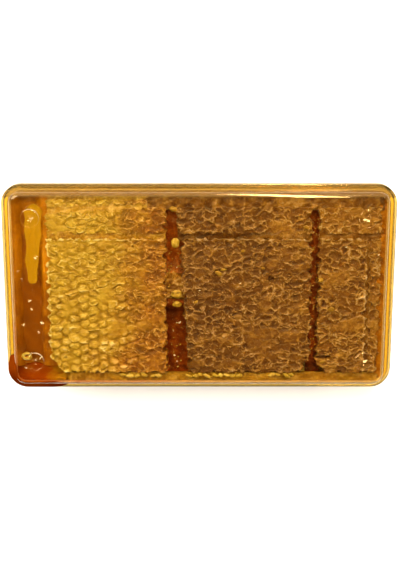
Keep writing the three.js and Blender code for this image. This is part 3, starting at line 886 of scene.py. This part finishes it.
def make_crumbs(name, material, places, seed, age=0.1, flat=0.5, lighter=0.0):
    """Loose bits of wax, joined to one mesh: (x, y, depth under the panel, length,
    width) each, turned at random."""
    rng = np.random.default_rng(seed)
    round_points, round_faces = ball(2)
    count = len(round_points)
    points, faces, tones = [], [], []
    for x, y, depth, length, width in places:
        swell = 1 + rng.normal(0, 0.13, count)[:, None]
        turn = rng.uniform(-0.5, 0.5)
        lump = round_points * swell * [length / 2, width / 2, width * flat]
        along, across, up = lump.T
        spun = xyz(along * math.cos(turn) - across * math.sin(turn),
                   along * math.sin(turn) + across * math.cos(turn), up)
        faces.append(round_faces + count * len(points))
        points.append(spun + [x, y, PANEL_UNDER_Z - depth])
        tones.append(rng.uniform(0.40, 0.72) + lighter + rng.normal(0, 0.05, count))
    return make_piece(name, np.concatenate(points), np.concatenate(faces).tolist(), material,
                      "yellow_wax", smooth_angle=80, tone=np.concatenate(tones), age=age)


# ---- stage ----

def make_floor():
    mesh = bpy.data.meshes.new("floor")
    size, level = 3.0, -1e-4
    mesh.from_pydata([(-size, -size, level), (size, -size, level), (size, size, level), (-size, size, level)],
                     [], [(0, 1, 2, 3)])
    mesh.materials.append(plain_floor())
    floor = new_object("floor", mesh)


def look_at(obj, place, target):
    """Puts an object at a place, facing the target, with +Y upwards in its view."""
    back = (Vector(place) - Vector(target)).normalized()
    right = Vector((0, 1, 0)).cross(back).normalized()
    up = back.cross(right)
    obj.matrix_world = Matrix.Translation(place) @ Matrix((right, up, back)).transposed().to_4x4()


def make_camera():
    """Straight above, leaning 15 degrees to the back of the box."""
    image_width_px, focal_px = 400, 1145
    lean, distance = math.radians(15), 0.615
    target = Vector((0.0005, 0.0030, PANEL_UNDER_Z * MM))
    data = bpy.data.cameras.new("camera")
    data.sensor_fit = "HORIZONTAL"
    data.lens = data.sensor_width * focal_px / image_width_px
    camera = new_object("camera", data)
    look_at(camera, target + distance * Vector((0, math.sin(lean), math.cos(lean))), target)
    bpy.context.scene.camera = camera


def make_lamp(name, place, size, power, colour="#ffffff"):
    """A rectangular lamp that faces the box."""
    data = bpy.data.lights.new(name, "AREA")
    data.shape = "RECTANGLE"
    data.size, data.size_y = size
    data.energy = power
    data.color = linear(colour)[:3]
    look_at(new_object(name, data), place, (0, 0, 0))


def make_light():
    """A softbox behind the box to the right with a lamp in front of it, weaker ones
    at the left and in front, and warm walls all round under a dark ceiling."""
    make_lamp("softbox_back", (0.30, 0.85, 0.85), (1.6, 1.1), 10, "#ffe8b0")
    make_lamp("lamp_back", (0.150, 0.84, 0.86), (0.085, 1.3), 15, "#fff2d8")
    make_lamp("lamp_right", (0.85, 0.45, 0.85), (0.12, 0.3), 1.5)
    make_lamp("softbox_left", (-0.85, 0.65, 0.9), (1.0, 0.7), 18)
    make_lamp("softbox_front", (0.1, -1.0, 0.45), (2.2, 1.0), 4)
    world = bpy.data.worlds.new("studio")
    world.use_nodes = True
    tree = world.node_tree
    place = add_node(tree, "ShaderNodeTexCoord")
    axes = add_node(tree, "ShaderNodeSeparateXYZ", links={0: place.outputs["Generated"]})
    walls = add_node(tree, "ShaderNodeValToRGB", links={0: axes.outputs["Z"]})
    fill_ramp(walls, [(0.0, "#f0d09a"), (0.5, "#e8c078"), (0.75, "#1a1510"), (1.0, "#100e0c")])
    background = tree.nodes["Background"]
    tree.links.new(walls.outputs["Color"], background.inputs["Color"])
    background.inputs["Strength"].default_value = 0.75
    bpy.context.scene.world = world
    bpy.context.scene.view_settings.view_transform = "Standard"


# ---- the whole box ----

# Colours of wax and clouded honey, from the deepest hollows to the highest ridges. Besides the wax's own
# colour, the dark low ends carry painted shade and the pale high ends carry painted highlight.
# Cappings of new wax are a dull pale yellow, and browner where they have aged.
YOUNG_YELLOW = [(0.0, "#664f04"), (0.3, "#886e19"), (0.6, "#a58e34"), (1.0, "#c2ba86")]
OLD_YELLOW = [(0.0, "#4a2901"), (0.3, "#6f4307"), (0.6, "#92671c"), (1.0, "#c4a571")]
# Torn rims of old comb: thin, tan, and dark where honey stands in the cells.
YOUNG_BROWN = [(0.0, "#402101"), (0.3, "#6a440c"), (0.6, "#896727"), (1.0, "#a18c72")]
OLD_BROWN = [(0.0, "#2c1401"), (0.3, "#502f09"), (0.6, "#7a5623"), (1.0, "#a08974")]
# Honey full of wax dust is tan where clear honey goes black. The tan also stands in for light that comes in
# through the walls of the tub: painted light.
CLOUDY_GLOW = [(0.0, "#421e00"), (0.4, "#7d4802"), (0.7, "#ab7208"), (1.0, "#cd961a")]
# Crumbled wax soaked with honey is red-brown and wet.
SOAKED = [(0.0, "#341204"), (0.4, "#6c2f09"), (0.7, "#995114"), (1.0, "#c17d28")]
# Honey set to fine crystals is pale and opaque. Its pale gold also stands in for light through thin honey:
# painted light.
SET_HONEY_GLOW = [(0.0, "#5c3a0c"), (0.5, "#b48f3f"), (1.0, "#d7b65b")]
# Honey that has dried on the lid is dark red-brown and has lost its shine.
SPILT = [(0.0, "#4a1601"), (0.5, "#6e2802"), (0.75, "#7c3803"), (1.0, "#8e6c18")]

# Sections of the spilt honey under and over the lid's rim, as (inset, z).
SPILL_UNDER = [(1.35, 29.2), (1.35, 30.75), (5.0, 30.75), (5.25, 29.4), (3.2, 28.75)]
SPILL_OVER = [(0.03, RIM_Z - 1.2), (3.2, RIM_Z - 0.2), (5.6, PANEL_Z - 0.1), (5.2, PANEL_Z + 0.1),
              (3.4, 37.6), (1.7, 35.6), (0.6, 34.6), (0.1, 33.7)]

make_camera()
make_light()
make_floor()
plastic = clear_polystyrene()
yellow_wax = beeswax("yellow_beeswax", YOUNG_YELLOW, OLD_YELLOW)
soaked_wax = beeswax("honey_soaked_wax", SOAKED, SOAKED, 0.3)
# Materials with the slot that each stands for.
yellow, soaked = (yellow_wax, "yellow_wax"), (soaked_wax, "brown_wax")
brown = (beeswax("brown_beeswax", YOUNG_BROWN, OLD_BROWN), "brown_wax")
cloudy_glow = (beeswax("cloudy_honey", CLOUDY_GLOW, CLOUDY_GLOW, 0.3), "honey")
make_tub(plastic)
make_lid(plastic)
make_honey(liquid_honey())
make_seep(honey_film("honey_seep_pale", "#ead084"), honey_film("honey_seep_gold", "#f6ce50"),
          honey_film("honey_seep_deep", "#b09458"))
make_set_rim(beeswax("set_honey_glow", SET_HONEY_GLOW, SOAKED, 0.35))
make_spill("honey_spill", honey_film("honey_spill", "#d88418"), SPILL_UNDER, (3.2, 30.7))
spilt_honey = beeswax("spilt_honey", SPILT, SPILT, 0.8, 0.0)
make_spill("honey_spill_top", spilt_honey, SPILL_OVER, (3.2, RIM_Z - 0.2))
make_pocket_film(glow_wax_film())


def left_capped(x, y):
    """How far the yellow comb is capped: wholly at the left, in places at the right."""
    return 1.2 - 0.85 * smoothstep(-56, -34, x + 4 * wander(x, y, 30, 81))


def left_age(x, y):
    front = (1 - smoothstep(-46, -16, y)) * smoothstep(-72, -52, x)
    return 0.10 + 0.85 * smoothstep(-56, -24, x) + 0.35 * front


def brown_capped(x, y):
    """How far the brown comb is capped: only in a few patches."""
    return 0.06 + 0.30 * np.clip(wander(x, y, 26, 83), 0, 1)


def near(x, y, place, size):
    """1 at a place, fading to 0 at about twice the size."""
    return bump(np.hypot(x - place[0], y - place[1]), size)


def brown_age(x, y):
    return (0.70 - 0.42 * smoothstep(30, 80, x) - 0.25 * smoothstep(20, 36, y) * smoothstep(20, 50, x)
            - 0.5 * near(x, y, (50, 38), 16) + 0.3 * near(x, y, (4, -3), 16))


def brown_blurred(x, y):
    """Where smeared wax hides the cells."""
    return (-0.25 + 1.4 * near(x, y, (34, -29), 15) + 1.3 * near(x, y, (47, 31), 9)
            + 0.25 * smoothstep(60, 64, x))


CUT_CORNER = (4.6, 5.6)           # missing between the two brown pieces
YELLOW_COMB = {
    "comb_left": {"cuts": {"left": (7.5, 9.5)}, "lit_cuts": ("left", "back")},
    "comb_left_back": {"cuts": {"back slant": 3.2}},
    "comb_left_sliver": {"cuts": {"front slant": 1.8}},
}
BROWN_COMB = {
    "comb_middle": {"cuts": {"right": CUT_CORNER, "lean": 2.6, "shift": 1.2}, "lit_cuts": ("back",),
                    "pits": [(38.6, 6.1, 1.7, 1.7), (60.5, -38.5, 3.0, 0.8)]},
    "comb_middle_back": {},
    "comb_right": {"cuts": {"left": CUT_CORNER}, "lit_cuts": ("back", "right"),
                   "pits": [(67.2, -38.0, 4.4, 0.8), (70.6, -38.2, 1.2, 1.1)]},
    "comb_right_back": {"lighter": 0.08},
    "comb_end_strip": {"lighter": 0.08},
}
for seed, (node, own) in enumerate(YELLOW_COMB.items(), 3):
    make_comb(node, yellow, seed, left_capped, left_age, **own)
for seed, (node, own) in enumerate(BROWN_COMB.items(), 6):
    make_comb(node, brown, seed, brown_capped, brown_age, blurred=brown_blurred, **own)
for seed, (node, ring, brightness) in enumerate([
        ("flake_pool", True, 0.62), ("flake_gap_back", False, 0.52),
        ("flake_gap_middle", False, 0.36), ("flake_gap_front", False, 0.30)], 30):
    make_flake(node, yellow_wax, ring, brightness, seed)

ROW_SEAM = (26.8, 32.6)
make_smear("seam_left", yellow, 101, (-81.0, -17.8, *ROW_SEAM),
           lambda x, y: 2.1 - 0.6 * (1 - smoothstep(-70, -66, x)), 0.40, 0.65, torn=0.4)
make_smear("seam_middle", brown, 102, (-11.5, 60.0, *ROW_SEAM),
           lambda x, y: 3.2 - 2.0 * smoothstep(36, 42, x) * (1 - smoothstep(54, 59, x)),
           lambda x, y: 0.20 + 0.20 * smoothstep(24, 38, x), 0.6, torn=0.3)
make_smear("seam_right", brown, 103, (64.0, 96.8, *ROW_SEAM), 2.4, 0.30, 0.3)
make_smear("seam_sliver", yellow, 104, (-80.5, -27.5, 41.0, 48.3), 1.9, 0.66, 0.55)
make_smear("seam_end", brown, 105, (88.2, 93.0, -46.0, 28.0), 2.4, 0.32, 0.2)
make_smear("gap_bridge", brown, 106, (-18.4, -7.4, -8.5, 10.5),
           lambda x, y: 2.4 + 4.5 * smoothstep(4.5, 9.0, np.abs(y - 1)), 0.36, 0.2, ragged=0.5, torn=0.9)
# The gaps between comb pieces are filled with soaked wax. Its dark tone also stands in for the shade deep in
# the narrow gaps, where it hides the lit table below: painted shade. gap_front and gap_right darken towards
# the front wall.
make_smear("gap_back", soaked, 109, (-19.6, -6.2, 2.0, 48.5),
           lambda x, y: 9 - 2 * smoothstep(26, 34, y) - 3 * (1 - smoothstep(8, 15, y)), 0.56, 0.6)
make_smear("gap_front", soaked, 110, (-19.6, -4.2, -49.5, 1.5),
           lambda x, y: 11 - 6.5 * smoothstep(-14, -8, y) - 5 * (1 - smoothstep(-49, -46, y)),
           lambda x, y: 0.43 - 0.10 * (1 - smoothstep(-49, -43, y)), 0.7)
make_smear("gap_right", soaked, 112, (58.2, 66.2, -49.5, 48.5),
           lambda x, y: 7.5 - 3.5 * smoothstep(44, 46, y),
           lambda x, y: 0.41 - 0.26 * (1 - smoothstep(-44, -36, y)), 0.6)


def left_bed_depth(x, y):
    """Depth of the bed of honey clouded with wax. It comes nearest the surface at the wall, in the front
    corner, at the back and beside the comb, which makes the honey there brighter. This is partly wax in the
    honey and partly painted light, standing in for light that comes in through the walls and lifting the
    comb's shadow beside it.
    """
    wall = 1 - smoothstep(-98.5, -94.0, x)
    back = smoothstep(-6, 16, y)
    corner = 1 - smoothstep(-46, -41, y)
    pool = 9.5 + 1.6 * wander(x, y, 15, 114)
    depth = pool + (5.5 - pool) * np.maximum(0.8 * back, corner)
    depth = depth + (3.2 - depth) * smoothstep(-87.5, -83, x)
    return depth + (2.6 - depth) * wall


def left_bed_tone(x, y):
    beside = smoothstep(-87.5, -84.5, x) * smoothstep(-4, 10, y)
    swirl = 0.11 * wander(x, y, 9, 118) * (1 - smoothstep(-14, 0, y))
    # Lighter towards the back. Beside the comb there it is lighter still, which lifts the comb's shadow:
    # painted light. The swirl is the honey's own.
    return 0.47 + swirl + 0.16 * smoothstep(-6, 16, y) - 0.10 * smoothstep(20, 40, y) + 0.12 * beside


make_smear("left_bed", cloudy_glow, 113, (-100.0, -76.0, -43.2, 51.5), left_bed_depth, left_bed_tone, 0.3,
           rough=0.35)
make_smear("corner_bed", (spilt_honey, "honey"), 116, (-100.0, -73.0, -52.0, -42.6),
           lambda x, y: (5.0 - 1.6 * (1 - smoothstep(-50.5, -48, y))
                         + 3 * smoothstep(-72, -67, x) * smoothstep(-49, -46, y)),
           lambda x, y: 0.72 + 0.25 * smoothstep(-86, -76, x), 0.3, rough=0.4)
# A bed of clouded honey along the right wall: partly painted light, standing in for light that comes in
# through the wall.
make_smear("right_bed", cloudy_glow, 111, (95.4, 99.4, -50.4, 50.4), 2.8, 0.52, 0.2)
make_smear("front_ledge", yellow, 107, (-77.0, 98.0, -51.6, -47.0),
           lambda x, y: 2.6 + 6 * (1 - smoothstep(-77, -70, x)), 0.36, 0.6)
make_smear("back_ledge", brown, 108, (-30.0, 98.0, 43.6, 51.6), 2.4,
           lambda x, y: 0.30 + 0.12 * wander(x, 0 * y, 30, 130) + 0.15 * near(x, y, (47, 48), 14), 0.5,
           torn=0.5)
make_smear("back_ledge_left", yellow, 117, (-80.0, -26.0, 48.4, 51.6), 2.2,
           lambda x, y: 0.46 - 0.10 * smoothstep(-50, -26, x), 0.4, torn=0.5)

rng = np.random.default_rng(7)
front_bits = []
for start, end in ((-44, -31.6), (-26.8, -21.5), (-7.5, 23), (37.6, 43), (45.7, 50)):
    x = start
    while x < end:
        length = rng.uniform(2.5, 5.5)
        front_bits.append((x + length / 2, -48.6 + rng.uniform(-0.4, 0.5), rng.uniform(1.2, 2.0), length,
                           rng.uniform(1.6, 2.4)))
        x += length * rng.uniform(0.75, 1.1)
make_crumbs("wax_bits_front", yellow_wax, front_bits, 11, 0.2)
capping_bits = [(-13.7, 44.4, 1.4, 4.4, 3.0), (10.7, 9.4, 0.9, 4.4, 2.2), (13.0, 11.4, 0.9, 3.4, 1.4),
                (23.4, 21.6, 0.9, 2.6, 1.8), (34.2, 12.2, 0.9, 2.4, 1.8), (-1.7, -6.7, 1.0, 2.6, 1.6),
                (65.4, 5.6, 0.9, 3.0, 2.8), (71.4, -10.7, 1.0, 3.6, 2.8), (57.0, 34.5, 1.1, 3.4, 2.2),
                (67.5, -40.5, 1.1, 3.0, 1.8)]
make_crumbs("capping_bits", yellow_wax, capping_bits, 15, 0.5, 0.35, lighter=-0.28)
specks = [(rng.uniform(-16.5, -9.5), rng.uniform(-45, 27), rng.uniform(0.8, 4.0),
           rng.uniform(0.4, 1.0), rng.uniform(0.35, 0.8)) for _ in range(38)]
specks += [(rng.uniform(60.6, 63.3), rng.uniform(-44, 44), rng.uniform(1.0, 4.0),
            rng.uniform(0.4, 0.9), rng.uniform(0.35, 0.7)) for _ in range(26)]
make_crumbs("wax_specks", yellow_wax, specks, 12)
# White specks at the glint places: painted glints, made as froth.
foam = [(x + size * rng.normal(0, 0.38), y + size * rng.normal(0, 0.30), 0.5,
         size * rng.uniform(0.5, 1.0), size * rng.uniform(0.25, 0.5))
        for x, y, size in GLINTS + STUD_GLINTS + GAP_GLINTS for _ in range(3)]
make_crumbs("foam_and_glints", foam_and_glints(), foam, 14, flat=0.3)
bubbles = [(102.4 - 0.02 * abs(y), y, PANEL_UNDER_Z - TUB_RIM_Z - 0.2, 0.7, 0.5)
           for y in (38, 31, 26.5, 19, 12.5, 7, -3, -11, -24, -26, -37)]
make_crumbs("rim_specks", soaked_wax, bubbles, 13, 1.0)
